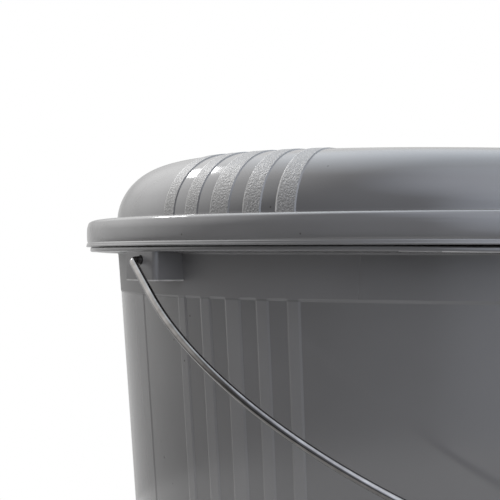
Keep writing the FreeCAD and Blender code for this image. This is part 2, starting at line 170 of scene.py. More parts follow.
# Studio: the floor's reach and where it fades to white, and the small lamp's power in watts,
# size, direction and distance from the axis, height, and the height that it points at.
FLOOR_REACH = 800.0
FADE_START = 300.0
FADE_END = 750.0
LAMP_POWER = 3.8
LAMP_SIZE = (260.0, 180.0)
LAMP_SIDE = -126.9
LAMP_DISTANCE = 1297.0
LAMP_HEIGHT = 1210.0
LAMP_AIM = 270.0

# Soft lights of the studio, those that matt surfaces get and those that mirroring ones see. Each
# has its direction as azimuth and height, the closeness to it at which the light starts, as a
# cosine, and its colour times its strength.
MATT_LIGHTS = [
    ((-120, 30), 0.2, (1.28, 1.24, 1.14)),
    ((25, 45), 0.5, (2.46, 2.55, 2.77)),
]
MIRRORED_BACK = [
    ((-150, 10), -0.2, (0.7, 0.7, 0.7)),
    ((-110, 35), 0.7, (1.3, 1.3, 1.3)),
    ((-160, 55), 0.7, (1.2, 1.2, 1.2)),
    ((170, 70), 0.74, (1.05, 1.3, 1.6)),
    ((-102, 28), 0.83, (0.9, 0.9, 0.9)),
]
MIRRORED_FRONT = [
    ((-20, 20), 0.75, (0.5, 0.53, 0.6)),
    ((8, 56), 0.8, (2.0, 2.22, 2.65)),
    ((20, -10), 0.8, (1.0, 1.06, 1.2)),
    ((14, 20), 0.85, (1.2, 1.32, 1.55)),
    ((3, 14), 0.94, (1.15, 1.26, 1.5)),
    ((50, 50), 0.6, (1.83, 1.83, 1.9)),
]


def linear(code):
    """Linear colour of an sRGB hex code."""
    parts = [int(code[i : i + 2], 16) / 255 for i in (0, 2, 4)]
    curve = [p / 12.92 if p <= 0.04045 else ((p + 0.055) / 1.055) ** 2.4 for p in parts]
    return (*curve, 1.0)


# Materials


def add(tree, kind, sockets=None, **settings):
    """A node with its settings, and its sockets set to values or fed by other nodes. A node given
    for a socket stands for its first output."""
    made = tree.nodes.new(kind)
    for name, value in settings.items():
        setattr(made, name, value)
    for name, value in (sockets or {}).items():
        if isinstance(value, bpy.types.Node):
            value = value.outputs[0]
        if isinstance(value, bpy.types.NodeSocket):
            tree.links.new(value, made.inputs[name])
        else:
            made.inputs[name].default_value = value
    return made


def new_material(name):
    material = bpy.data.materials.new(name)
    material.use_nodes = True
    material.node_tree.nodes.clear()
    return material, material.node_tree


def pattern(size):
    """Scale of a pattern with features of a size in millimetres."""
    return 1 / (size * MM)


def glossy_polypropylene(name, dark, light):
    """Injection moulded polypropylene, polished tool: gives the eye soft mirror reflections with
    a slight orange peel, faint flow marks in the grey and a few dust specks. At the neck's two
    sides, near the lugs, handling has made it duller."""
    material, tree = new_material(name)
    place = add(tree, "ShaderNodeTexCoord").outputs["Object"]
    flow = add(tree, "ShaderNodeTexNoise", {"Vector": place, "Scale": pattern(55), "Detail": 3.0})
    tone = add(tree, "ShaderNodeMapRange", {"Value": flow, "From Min": 0.35, "From Max": 0.65})
    grey = add(tree, "ShaderNodeMix", {0: tone, 6: linear(dark), 7: linear(light)}, data_type="RGBA")
    dust = add(tree, "ShaderNodeTexVoronoi", {"Vector": place, "Scale": pattern(9)})
    speck = add(
        tree,
        "ShaderNodeMapRange",
        {"Value": dust, "From Min": 0.035, "From Max": 0.05, "To Min": 1.0, "To Max": 0.0},
    )
    dusty = add(
        tree,
        "ShaderNodeMix",
        {0: speck, 6: grey.outputs[2], 7: linear("3F3D3C")},
        data_type="RGBA",
    )

    polish = add(tree, "ShaderNodeTexNoise", {"Vector": place, "Scale": pattern(30), "Detail": 4.0})
    polished = add(
        tree,
        "ShaderNodeMapRange",
        {"Value": polish, "From Min": 0.3, "From Max": 0.7, "To Min": 0.1, "To Max": 0.15},
    )
    parts = add(tree, "ShaderNodeSeparateXYZ", {0: place}).outputs
    height, step, under = parts["Z"], STEP_HEIGHT * MM, FLANGE_UNDER * MM
    fade = 0.5 * MM
    above = add(
        tree,
        "ShaderNodeMapRange",
        {"Value": height, "From Min": step - fade, "From Max": step + fade},
    )
    below = add(
        tree,
        "ShaderNodeMapRange",
        {"Value": height, "From Min": under, "From Max": under + fade, "To Min": 1.0, "To Max": 0.0},
    )
    sideways = add(tree, "ShaderNodeMath", {0: parts["X"]}, operation="ABSOLUTE")
    near = add(
        tree,
        "ShaderNodeMapRange",
        {"Value": sideways, "From Min": 115 * MM, "From Max": 128 * MM, "To Min": 0.0, "To Max": 0.3},
    )
    neck = add(tree, "ShaderNodeMath", {0: above, 1: below}, operation="MULTIPLY")
    scuffs = add(tree, "ShaderNodeMath", {0: neck, 1: near}, operation="MULTIPLY")
    rough = add(tree, "ShaderNodeMath", {0: polished, 1: scuffs}, operation="ADD")

    peel = add(tree, "ShaderNodeTexNoise", {"Vector": place, "Scale": pattern(3.5), "Detail": 2.0})
    bump = add(tree, "ShaderNodeBump", {"Height": peel, "Strength": 0.12, "Distance": 0.04 * MM})
    shader = add(
        tree,
        "ShaderNodeBsdfPrincipled",
        {"Base Color": dusty.outputs[2], "Roughness": rough, "IOR": 1.5, "Normal": bump},
    )
    add(tree, "ShaderNodeOutputMaterial", {"Surface": shader})
    return material


def grained_polypropylene():
    """The same polypropylene off a spark eroded tool: gives the eye a light, sparkling matt grain.
    The grain is drawn coarser than a real one, so that it shows."""
    material, tree = new_material("spark_grained_polypropylene")
    place = add(tree, "ShaderNodeTexCoord").outputs["Object"]
    grain = add(
        tree,
        "ShaderNodeTexNoise",
        {"Vector": place, "Scale": pattern(0.6), "Detail": 2.0, "Roughness": 0.5},
    )
    tone = add(tree, "ShaderNodeMapRange", {"Value": grain, "From Min": 0.35, "From Max": 0.65})
    grey = add(
        tree, "ShaderNodeMix", {0: tone, 6: linear("5B5A59"), 7: linear("747270")}, data_type="RGBA"
    ).outputs[2]
    bump = add(tree, "ShaderNodeBump", {"Height": grain, "Strength": 1.0, "Distance": 0.3 * MM})
    shader = add(
        tree,
        "ShaderNodeBsdfPrincipled",
        {"Base Color": grey, "Roughness": 0.4, "IOR": 1.5, "Specular IOR Level": 1.0, "Normal": bump},
    )
    add(tree, "ShaderNodeOutputMaterial", {"Surface": shader})
    return material


def painted_edge_highlight_polypropylene():
    """Painted highlight: edges of the same polypropylene drawn paler, which gives the eye a thin light
    line.
    """
    material, tree = new_material("polypropylene_painted_edge_highlight")
    place = add(tree, "ShaderNodeTexCoord").outputs["Object"]
    highlight_mottle = add(tree, "ShaderNodeTexNoise", {"Vector": place, "Scale": pattern(4), "Detail": 3.0})
    tone = add(tree, "ShaderNodeMapRange", {"Value": highlight_mottle, "From Min": 0.3, "From Max": 0.7})
    grey = add(
        tree, "ShaderNodeMix", {0: tone, 6: linear("8A8988"), 7: linear("A8A6A4")}, data_type="RGBA"
    ).outputs[2]
    shader = add(
        tree, "ShaderNodeBsdfPrincipled", {"Base Color": grey, "Roughness": 0.35, "IOR": 1.5}
    )
    add(tree, "ShaderNodeOutputMaterial", {"Surface": shader})
    return material


def zinc_plated_wire():
    """Hard drawn steel wire, bright zinc plated: gives the eye hard lengthwise highlights with
    fine die lines along the wire."""
    material, tree = new_material("bright_zinc_plated_wire")
    along = add(tree, "ShaderNodeUVMap", uv_map="along_wire")
    stretch = add(
        tree, "ShaderNodeMapping", {"Vector": along, "Scale": (pattern(30), pattern(0.6), 1.0)}
    )
    lines = add(tree, "ShaderNodeTexNoise", {"Vector": stretch, "Scale": 1.0, "Detail": 3.0})
    even = add(tree, "ShaderNodeMapping", {"Vector": along, "Scale": (pattern(4), pattern(4), 1.0)})
    cloud = add(tree, "ShaderNodeTexNoise", {"Vector": even, "Scale": 1.0, "Detail": 4.0})
    rough = add(
        tree,
        "ShaderNodeMapRange",
        {"Value": cloud, "From Min": 0.35, "From Max": 0.7, "To Min": 0.08, "To Max": 0.2},
    )
    tone = add(tree, "ShaderNodeMapRange", {"Value": cloud, "From Min": 0.3, "From Max": 0.7})
    silver = add(
        tree, "ShaderNodeMix", {0: tone, 6: linear("706E6C"), 7: linear("5A5856")}, data_type="RGBA"
    ).outputs[2]
    bump = add(tree, "ShaderNodeBump", {"Height": lines, "Strength": 0.25, "Distance": 0.03 * MM})
    shader = add(
        tree,
        "ShaderNodeBsdfPrincipled",
        {"Base Color": silver, "Roughness": rough, "Metallic": 1.0, "Normal": bump},
    )
    add(tree, "ShaderNodeOutputMaterial", {"Surface": shader})
    return material


def satin_polyethylene():
    """Blow moulded polyethylene of the grip: gives the eye a dull waxy sheen with a fine grain."""
    material, tree = new_material("satin_moulded_polyethylene")
    place = add(tree, "ShaderNodeTexCoord").outputs["Object"]
    flow = add(tree, "ShaderNodeTexNoise", {"Vector": place, "Scale": pattern(20), "Detail": 3.0})
    tone = add(tree, "ShaderNodeMapRange", {"Value": flow, "From Min": 0.35, "From Max": 0.65})
    grey = add(
        tree, "ShaderNodeMix", {0: tone, 6: linear("343436"), 7: linear("3B3B3D")}, data_type="RGBA"
    ).outputs[2]
    grain = add(tree, "ShaderNodeTexNoise", {"Vector": place, "Scale": pattern(0.6), "Detail": 2.0})
    bump = add(tree, "ShaderNodeBump", {"Height": grain, "Strength": 0.3, "Distance": 0.04 * MM})
    shader = add(
        tree,
        "ShaderNodeBsdfPrincipled",
        {"Base Color": grey, "Roughness": 0.38, "IOR": 1.51, "Normal": bump},
    )
    add(tree, "ShaderNodeOutputMaterial", {"Surface": shader})
    return material


# Shaping


def deselect():
    bpy.ops.object.select_all(action="DESELECT")


def select_only(thing):
    deselect()
    thing.select_set(True)
    bpy.context.view_layer.objects.active = thing


def start_outline(name, points):
    """A line through points given as (radius, height), drawn in the plane of X and Z. It stays
    in edit mode, all selected."""
    deselect()
    bpy.ops.mesh.primitive_plane_add(size=MM)
    outline = bpy.context.object
    outline.name = name
    outline.data.name = name
    bpy.ops.object.mode_set(mode="EDIT")
    bpy.ops.mesh.select_mode(type="VERT")
    bpy.ops.mesh.merge(type="CENTER")
    places = [Vector((radius * MM, 0, height * MM)) for radius, height in points]
    bpy.ops.transform.translate(value=places[0])
    for before, after in zip(places, places[1:]):
        bpy.ops.mesh.extrude_vertices_move(TRANSFORM_OT_translate={"value": after - before})
    bpy.ops.mesh.select_all(action="SELECT")
    return outline


def spin_about_axis(columns):
    """Spins the selected outline about Z, one sector after the other."""
    for angle, steps in columns:
        turn = -math.radians(angle)
        bpy.ops.mesh.spin(steps=steps, angle=turn, center=(0, 0, 0), axis=(0, 0, 1))
    bpy.ops.mesh.select_all(action="SELECT")
    bpy.ops.mesh.remove_doubles(threshold=2e-6)
    bpy.ops.mesh.normals_make_consistent(inside=False)


def even_columns(edges):
    """Sectors between sorted edges, cut so that none is wider than the widest column."""
    columns = []
    for before, after in zip(edges, edges[1:]):
        steps = max(1, math.ceil((after - before) / WIDEST_COLUMN - 1e-6))
        columns.append((after - before, steps))
    return columns


def edge_columns(angles, slope):
    """Places round the axis that give the edge at each angle a slope and a flat on each side."""
    places = {0.0, 360.0}
    for angle in angles:
        for place in (-angle % 360, 180 + angle):
            for step in (-1.2, -0.5, 0.5, 1.2):
                places.add((place + step * slope) % 360)
    return sorted(places)


def pick(thing, test):
    """Selects the vertices of a mesh in edit mode whose place and normal pass a test."""
    bpy.ops.mesh.select_mode(type="VERT")
    mesh = bmesh.from_edit_mesh(thing.data)
    for vertex in mesh.verts:
        vertex.select_set(False)
    for vertex in mesh.verts:
        if test(vertex.co, vertex.normal):
            vertex.select_set(True)
    mesh.select_flush(True)
    bmesh.update_edit_mesh(thing.data)


def from_lug(place):
    """Angle of a place from the middle of the lug on its side, positive towards the front."""
    return math.degrees(math.atan2(-place.y, abs(place.x)))


def reach(place):
    """Distance of a place from the pail's axis, in millimetres."""
    return math.hypot(place.x, place.y) / MM


def arc(centre, radius, start, end, steps):
    """Points of an arc in the plane of an outline."""
    points = []
    for i in range(steps + 1):
        angle = math.radians(start + (end - start) * i / steps)
        points.append((centre[0] + radius * math.cos(angle), centre[1] + radius * math.sin(angle)))
    return points


def cut_away(thing, cutter):
    """Takes a cutter's shape out of a mesh and removes the cutter."""
    cut = thing.modifiers.new("cut", "BOOLEAN")
    cut.object = cutter
    cut.solver = "EXACT"
    select_only(thing)
    bpy.ops.object.modifier_apply(modifier=cut.name)
    bpy.data.objects.remove(cutter)


def add_materials(thing, *materials):
    for material in materials:
        thing.data.materials.append(material)


def finish_piece(thing, smooth_angle, body, node):
    """Smooths a piece up to an angle, gives it its body and hides the node it stands for."""
    select_only(thing)
    bpy.ops.object.shade_smooth_by_angle(angle=math.radians(smooth_angle))
    deselect()
    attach(thing, body)
    if node:
        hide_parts(node)


# Bucket


def wall_radius(height):
    return BASE_RADIUS + (STEP_RADIUS - BASE_RADIUS) * height / STEP_HEIGHT


def bucket_outline():
    """From the middle of the underside round the outside and back to the middle of the floor."""
    gate = FLOOR_UNDER + GATE_SINK
    foot = [(0, FLOOR_UNDER), (7, FLOOR_UNDER), (7.6, gate), (9.0, gate), (9.6, FLOOR_UNDER)]
    foot += [(60, FLOOR_UNDER)]
    foot += arc((FOOT_INNER - FOOT_FILLET, FLOOR_UNDER - FOOT_FILLET), FOOT_FILLET, 90, 0, 4)
    foot += arc((FOOT_INNER + FOOT_ROUND, FOOT_ROUND), FOOT_ROUND, 180, 270, 4)
    foot += arc((BASE_RADIUS - HEEL_ROUND, HEEL_ROUND), HEEL_ROUND, 270, 356, 8)

    heights = [9] + [PANEL_BOTTOM + row for row in EDGE_ROWS] + [60, 105, 150, 190, 220]
    heights += [STEP_HEIGHT + row for row in EDGE_ROWS] + [240]
    wall = [(wall_radius(height), height) for height in heights]

    neck = wall_radius(FLANGE_UNDER) + FLANGE_FILLET
    edge = FLANGE_RADIUS - FLANGE_ROUND
    flange = arc((neck, FLANGE_UNDER - FLANGE_FILLET), FLANGE_FILLET, 180, 90, 4)
    flange += [(FLANGE_BEND, FLANGE_UNDER), (152.2, FLANGE_UNDER)]
    flange += arc((edge, FLANGE_UNDER + FLANGE_ROUND), FLANGE_ROUND, 270, 360, 4)
    flange += arc((edge, FLANGE_TOP - FLANGE_ROUND), FLANGE_ROUND, 0, 90, 4)
    flange += [(150, FLANGE_TOP)]
    flange += arc((RIM_RADIUS + FLANGE_FILLET, FLANGE_TOP + FLANGE_FILLET), FLANGE_FILLET, 270, 180, 4)

    rim = [(RIM_RADIUS, RIM_FOOT)]
    rim += arc((RIM_RADIUS - RIM_ROUND, RIM_TOP - RIM_ROUND), RIM_ROUND, 0, 180, 10)
    rim += [(RIM_RADIUS - WALL, RIM_FOOT), (STEP_RADIUS - WALL + 0.02, 234)]
    rim += [(STEP_RADIUS - WALL, STEP_HEIGHT)]

    corner = FLOOR_TOP + FLOOR_CORNER
    inside = [(wall_radius(height) - WALL, height) for height in (200, 150, 100, 50)]
    inside += arc((wall_radius(corner) - WALL - FLOOR_CORNER, corner), FLOOR_CORNER, -4, -90, 10)
    ring = FLOOR_TOP + FLOOR_RING_RISE
    inside += [(90, FLOOR_TOP), (FLOOR_RING + 1, FLOOR_TOP), (FLOOR_RING + 0.4, ring)]
    inside += [(FLOOR_RING - 0.4, ring), (FLOOR_RING - 1, FLOOR_TOP), (30, FLOOR_TOP), (0, FLOOR_TOP)]
    return foot + wall + flange + rim + inside


def lift_flange(bucket):
    """The lugs hold the flange up a little, so that it sags towards the front and the back. How
    far sideways a place lies goes from 0 at the front to 1 at a lug."""
    mesh = bmesh.from_edit_mesh(bucket.data)
    for vertex in mesh.verts:
        if reach(vertex.co) > FLANGE_BEND - 1 and vertex.co.z > (FLANGE_UNDER - 0.1) * MM:
            sideways = abs(vertex.co.x) / math.hypot(vertex.co.x, vertex.co.y)
            share = min(1, max(0, (sideways - LIFT_START) / LIFT_SPAN))
            vertex.co.z += FLANGE_LIFT * MM * share * share * (3 - 2 * share)
    bmesh.update_edit_mesh(bucket.data)


def sink_panel(bucket, low, high, recess):
    """Presses the panel between two angles into the outside of the wall, on both halves."""

    def on_panel(place, normal):
        height = place.z / MM
        outside = reach(place) > wall_radius(height) - 0.5
        between = low + 0.01 < from_lug(place) < high - 0.01
        return outside and between and PANEL_BOTTOM < height < STEP_HEIGHT

    pick(bucket, on_panel)
    middle = wall_radius(PANEL_MIDDLE)
    share = (middle - recess) / middle
    bpy.ops.transform.resize(value=(share, share, 1), center_override=(0, 0, 0))


def make_bucket(gloss, edge_highlight, rib_sheen):
    """The pail in one piece, with a painted highlight on its flange's lower edge and a painted sheen
    on its ribs.
    """
    edges = [angle for panel in PANELS for angle in panel] + [FRONT_START]
    bucket = start_outline("pail_wall_and_floor", bucket_outline())
    spin_about_axis(even_columns(edge_columns(edges, PANEL_SLOPE)))
    for low, high in PANELS:
        sink_panel(bucket, low, high, PANEL_RECESS)
    sink_panel(bucket, FRONT_START, 180 - FRONT_START, PANEL_RECESS)
    sink_panel(bucket, -180 - PANELS[0][0], PANELS[0][0], BACK_RECESS)
    lift_flange(bucket)
    bpy.ops.object.mode_set(mode="OBJECT")
    add_materials(bucket, gloss, edge_highlight, rib_sheen)
    ends = [high for low, high in PANELS]
    starts = [low for low, high in PANELS[1:]] + [FRONT_START]
    for face in bucket.data.polygons:
        angle, height, outward = from_lug(face.center), face.center.z / MM, reach(face.center)
        # Painted highlight: the flange's lower edge takes the pale edge material.
        if outward > FLANGE_RADIUS - 0.45 and height < FLANGE_UNDER + 0.4:
            face.material_index = 1
        # Painted sheen: the ribs between the panels take the paler copy of the plastic.
        on_wall = PANEL_BOTTOM < height < STEP_HEIGHT - 0.5 and outward > wall_radius(height) - 0.2
        if on_wall and any(end < angle < start for end, start in zip(ends, starts)):
            face.material_index = 2
    finish_piece(bucket, 50, "bucket", "bucket_body")


# Lugs


def make_lug(side, gloss, edge_highlight):
    """Box under the flange, hollow and open below, with a round hole for the wire. Both lugs are
    shaped on the right, and the left one is then turned half round the pail's axis."""
    rear = -1 if side == "left" else 1
    deselect()
    bpy.ops.mesh.primitive_cube_add(size=1)
    lug = bpy.context.object
    lug.name = f"bail_lug_{side}"
    lug.data.name = lug.name
    bpy.ops.object.mode_set(mode="EDIT")
    size = Vector((LUG_FACE - LUG_INNER, 2 * LUG_FRONT, LUG_TOP - LUG_BOTTOM)) * MM
    middle = Vector(((LUG_FACE + LUG_INNER) / 2, 0, (LUG_TOP + LUG_BOTTOM) / 2)) * MM
    bpy.ops.transform.resize(value=size)
    bpy.ops.transform.translate(value=middle)
    pick(lug, lambda place, normal: place.y * rear > 0)
    bpy.ops.transform.translate(value=(0, rear * (LUG_REAR - LUG_FRONT) * MM, 0))
    round_lug_edges(lug, rear)
    bpy.ops.object.mode_set(mode="OBJECT")
    add_materials(lug, gloss, edge_highlight)
    # Painted highlight: the lug's bottom edges and rear upright edge take the pale edge material.
    for face in lug.data.polygons:
        centre, normal = face.center / MM, face.normal
        foot_edge = centre.z < LUG_BOTTOM + 0.6 and -0.98 < normal.z < -0.1
        rear_edge = centre.y * rear > LUG_REAR - 0.7 and normal.x > 0.2 and abs(normal.y) > 0.2
        if foot_edge or rear_edge:
            face.material_index = 1
    hollow_lug(lug, rear)
    drill_lug(lug)
    if side == "left":
        lug.data.transform(Matrix.Rotation(math.pi, 4, "Z"))
    finish_piece(lug, 40, "bucket", None)


def bevel_where(lug, test, width, segments):
    """Rounds the edges whose two end points, in millimetres, pass a test."""
    bpy.ops.mesh.select_mode(type="EDGE")
    mesh = bmesh.from_edit_mesh(lug.data)
    for edge in mesh.edges:
        edge.select_set(test(*[vertex.co / MM for vertex in edge.verts]))
    bmesh.update_edit_mesh(lug.data)
    bpy.ops.mesh.bevel(offset=width * MM, segments=segments, affect="EDGES")


def round_lug_edges(lug, rear):
    """Rounds the outer edges: wide at the front upright, narrow at the rear one and the bottom."""

    def upright(a, b, side):
        on_edge = all(c.x > LUG_FACE - 0.1 and abs(c.y * rear - side) < 0.01 for c in (a, b))
        return on_edge and abs(a.z - b.z) > 5

    def lowest(a, b):
        outside = any(c.x > LUG_INNER + 0.05 for c in (a, b))
        return outside and all(abs(c.z - LUG_BOTTOM) < 0.001 for c in (a, b))

    bevel_where(lug, lambda a, b: upright(a, b, -LUG_FRONT), LUG_FRONT_ROUND, 8)
    bevel_where(lug, lambda a, b: upright(a, b, LUG_REAR), LUG_REAR_ROUND, 4)
    bevel_where(lug, lowest, LUG_FOOT_ROUND, 3)


def hollow_lug(lug, rear):
    """Cuts the pocket that leaves the lug's walls and roof. It starts below the lug, so that it
    is open there."""
    inner, outer = LUG_INNER + LUG_BACK, LUG_FACE - LUG_WALL
    bottom, roof = LUG_BOTTOM - 2, LUG_TOP - LUG_ROOF
    width = LUG_FRONT + LUG_REAR - 2 * LUG_WALL
    middle = Vector(((inner + outer) / 2, rear * (LUG_REAR - LUG_FRONT) / 2, (bottom + roof) / 2))
    deselect()
    bpy.ops.mesh.primitive_cube_add(size=1)
    pocket = bpy.context.object
    size = Matrix.Diagonal(((outer - inner) * MM, width * MM, (roof - bottom) * MM, 1))
    pocket.data.transform(Matrix.Translation(middle * MM) @ size)
    cut_away(lug, pocket)


def drill_lug(lug):
    """Cuts the wire's hole through the lug's face, on the pivot line."""
    deselect()
    bpy.ops.mesh.primitive_cylinder_add(vertices=48, radius=LUG_HOLE * MM, depth=5 * MM)
    drill = bpy.context.object
    turn = Matrix.Rotation(math.pi / 2, 4, "Y")
    place = Matrix.Translation(Vector((LUG_FACE - 1, 0, PIVOT_HEIGHT)) * MM)
    drill.data.transform(place @ turn)
    cut_away(lug, drill)


# Lid


def crown_outline():
    """Half section of the dome's crown, from its outer edge to the middle."""
    spots = [118, 112, 105, 98, BAND_INNER + 0.4, BAND_INNER - 0.4, 84, 74, 62, 48, 34, 18, 6, 0]
    level = DOME_FOOT + SHOULDER
    return [(spot, level + CROWN_LIFT * (1 - (spot / CROWN_RADIUS) ** 2)) for spot in spots]


def lid_outline():
    """From the middle of the dome's inside, down the plug ring, round the skirt and over the dome."""
    inside = [(radius, height - LID_WALL) for radius, height in reversed(crown_outline())]
    inside += arc((CROWN_RADIUS, DOME_FOOT), SHOULDER - LID_WALL, 90, 0, 18)

    plug = [(141.3, 256.6), (140.6, 256.2), (139.4, 256.0), (PLUG_INNER, 255.6), (PLUG_INNER, 249.2)]
    plug += arc((PLUG_INNER + PLUG_ROUND, PLUG_BOTTOM + PLUG_ROUND), PLUG_ROUND, 180, 270, 3)
    plug += arc((PLUG_RADIUS - PLUG_ROUND, PLUG_BOTTOM + PLUG_ROUND), PLUG_ROUND, 270, 360, 3)
    plug += [(PLUG_RADIUS, 252), (PLUG_RADIUS, LEDGE_UNDER - 0.4), (PLUG_RADIUS + 0.4, LEDGE_UNDER)]

    skirt = [(146, LEDGE_UNDER), (151.2, LEDGE_UNDER), (152.0, LEDGE_UNDER - 0.5), (152.5, 250)]
    skirt += [(152.6, SKIRT_BOTTOM + 0.2), (152.8, SKIRT_BOTTOM + 0.05), (153.3, SKIRT_BOTTOM + 0.05)]
    skirt += [(153.5, SKIRT_BOTTOM), (154.3, SKIRT_BOTTOM)]
    skirt += arc((BEAD_RADIUS - BEAD_ROUND, SKIRT_BOTTOM + BEAD_ROUND), BEAD_ROUND, 280, 350, 4)
    skirt += [(BEAD_RADIUS - inward, SKIRT_BOTTOM + up) for inward, up in SKIRT_LINES + SKIRT_FACE]

    level = LEDGE_TOP - LEDGE_ROUND_UP
    ledge = []
    for angle in map(math.radians, range(8, 91, 8)):
        outward, up = LEDGE_ROUND_OUT * math.cos(angle), LEDGE_ROUND_UP * math.sin(angle)
        ledge.append((LEDGE_EDGE + outward, level + up))
    ledge += [(150.2, LEDGE_TOP), (147, LEDGE_TOP), (144.2, LEDGE_TOP)]
    ledge += arc((DOME_RADIUS + DOME_FILLET, LEDGE_TOP + DOME_FILLET), DOME_FILLET, 270, 180, 3)

    shoulder = arc((CROWN_RADIUS, DOME_FOOT), SHOULDER, 0, 90, 22)[1:]
    return inside + plug + skirt + ledge + shoulder + crown_outline()


def arch_over(place):
    """How far the dome's skin drops at a place, because its crown is arched about the X axis."""
    height = place.z / MM - DOME_FOOT
    if height <= 0 or reach(place) > DOME_RADIUS + 0.01:
        return 0
    angle = math.atan2(place.y, place.x)
    inner = min(1, (reach(place) / CROWN_RADIUS) ** 2)
    return ARCH_SHARE * height * math.sin(angle) ** 2 * inner


def bend_dome(lid):
    """Arches the dome's skin about the X axis."""
    mesh = bmesh.from_edit_mesh(lid.data)
    for vertex in mesh.verts:
        vertex.co.z -= arch_over(vertex.co) * MM
    bmesh.update_edit_mesh(lid.data)


def outer_skin(place, normal):
    """True for the upper or outer side of the dome, false for its inside and the ledge."""
    outward = normal.x * place.x + normal.y * place.y
    above = place.z / MM > DOME_FOOT + 0.2 and reach(place) < DOME_RADIUS + 1
    return above and (normal.z > 0.1 or outward > 0)


def raise_band(lid, low, high):
    """Lifts the band between two angles out of the dome's skin, on both halves."""

    def on_band(place, normal):
        between = low < from_lug(place) < high
        return between and reach(place) > BAND_INNER and outer_skin(place, normal)

    pick(lid, on_band)
    bpy.ops.transform.shrink_fatten(value=BAND_RELIEF * MM)


def make_lid(gloss, grain, edge_highlight):
    """The lid in one piece, its bands grained and a painted highlight on each band's first edge."""
    edges = [angle for band in BANDS for angle in band]
    lid = start_outline("lid_dome_and_skirt", lid_outline())
    spin_about_axis(even_columns(edge_columns(edges, BAND_SLOPE)))
    bend_dome(lid)
    for low, high in BANDS:
        raise_band(lid, low, high)
    bpy.ops.object.mode_set(mode="OBJECT")
    add_materials(lid, gloss, grain, edge_highlight)
    for face in lid.data.polygons:
        angle = from_lug(face.center)
        banded = any(low + 0.1 < angle < high - 0.1 for low, high in BANDS)
        rising = any(-0.1 < angle - low < 0.2 for low, high in BANDS)
        on_dome = reach(face.center) > BAND_INNER and outer_skin(face.center, face.normal)
        # Painted highlight: each band's first edge takes the pale edge material.
        if on_dome and rising:
            face.material_index = 2
        elif on_dome and banded:
            face.material_index = 1
    finish_piece(lid, 28, "lid", "lid")


# Bail and grip


def bail_place(across, down):
    """A place in the bail's plane, from the middle of the pivot line: across and away from it."""
    drop = math.radians(BAIL_DROP)
    return Vector((across, -down * math.cos(drop), PIVOT_HEIGHT - down * math.sin(drop))) * MM


def bail_path():
    """The wire's centre line from the middle to its end in the right lug, as places across and
    down, and how far down its straight middle lies."""
    splay, side = math.radians(LEG_SPLAY), math.radians(SIDE_ANGLE)
    leg_end = (LEG_FOOT + LEG_LENGTH * math.sin(splay), LEG_LENGTH * math.cos(splay))
    centre = (leg_end[0] - SIDE_BEND * math.cos(splay), leg_end[1] + SIDE_BEND * math.sin(splay))
    step = (MIDDLE_HALF - centre[0]) / math.cos(side)
    shoulder = (MIDDLE_HALF, centre[1] + step * math.sin(side))
    depth = shoulder[1] + SIDE_BEND - step
    tangent = END_BEND * math.tan(math.radians((90 - LEG_SPLAY) / 2))
    bend = LEG_FOOT - tangent
    points = [(MIDDLE_HALF * i / 6, depth) for i in range(6)]
    points += arc(shoulder, SIDE_BEND - step, 90, SIDE_ANGLE, 40)
    points += arc(centre, SIDE_BEND, SIDE_ANGLE, -LEG_SPLAY, 40)[1:]
    for share in (0.25, 0.5, 0.75):
        points.append((leg_end[0] - (leg_end[0] - LEG_FOOT) * share, leg_end[1] * (1 - share)))
    points += arc((bend, END_BEND), END_BEND, -LEG_SPLAY, -90, 12)
    points += [(bend * (1 - share) + WIRE_END * share, 0) for share in (0.3, 0.6, 0.95, 1)]
    return points, depth


def make_wire(material):
    """Round wire swept along its path, as a mesh whose UV map runs along and round the wire.
    Gives back how far down the wire's straight middle lies."""
    half, depth = bail_path()
    line = [(-across, down) for across, down in reversed(half)] + half[1:]
    places = [bail_place(across, down) for across, down in line]
    away = bail_place(0, 1) - bail_place(0, 0)
    flat = Vector((1, 0, 0)).cross(away).normalized()
    last = len(places) - 1
    mesh = bmesh.new()
    uv_layer = mesh.loops.layers.uv.new("along_wire")

    rings, lengths, run = [], [], 0.0
    for i, place in enumerate(places):
        ahead = (places[min(i + 1, last)] - places[max(i - 1, 0)]).normalized()
        side = ahead.cross(flat).normalized()
        radius = WIRE_RADIUS * (WIRE_CHAMFER if i in (0, last) else 1) * MM
        ring = []
        for j in range(WIRE_SIDES):
            angle = 2 * math.pi * j / WIRE_SIDES
            spoke = side * math.cos(angle) + flat * math.sin(angle)
            ring.append(mesh.verts.new(place + spoke * radius))
        rings.append(ring)
        if i:
            run += (place - places[i - 1]).length
        lengths.append(run)

    for i in range(last):
        for j in range(WIRE_SIDES):
            after = (j + 1) % WIRE_SIDES
            corners = [rings[i][j], rings[i][after], rings[i + 1][after], rings[i + 1][j]]
            face = mesh.faces.new(corners)
            turns = [j, j + 1, j + 1, j]
            runs = [lengths[i], lengths[i], lengths[i + 1], lengths[i + 1]]
            for loop, turn, length in zip(face.loops, turns, runs):
                loop[uv_layer].uv = (length, turn / WIRE_SIDES * 2 * math.pi * WIRE_RADIUS * MM)
    mesh.faces.new(reversed(rings[0]))
    mesh.faces.new(rings[-1])
    bmesh.ops.recalc_face_normals(mesh, faces=mesh.faces)

    data = bpy.data.meshes.new("bail_wire_swept")
    mesh.to_mesh(data)
    mesh.free()
    wire = bpy.data.objects.new("bail_wire_swept", data)
    bpy.context.scene.collection.objects.link(wire)
    add_materials(wire, material)
    finish_piece(wire, 50, "bail", "bail_wire")
    return depth


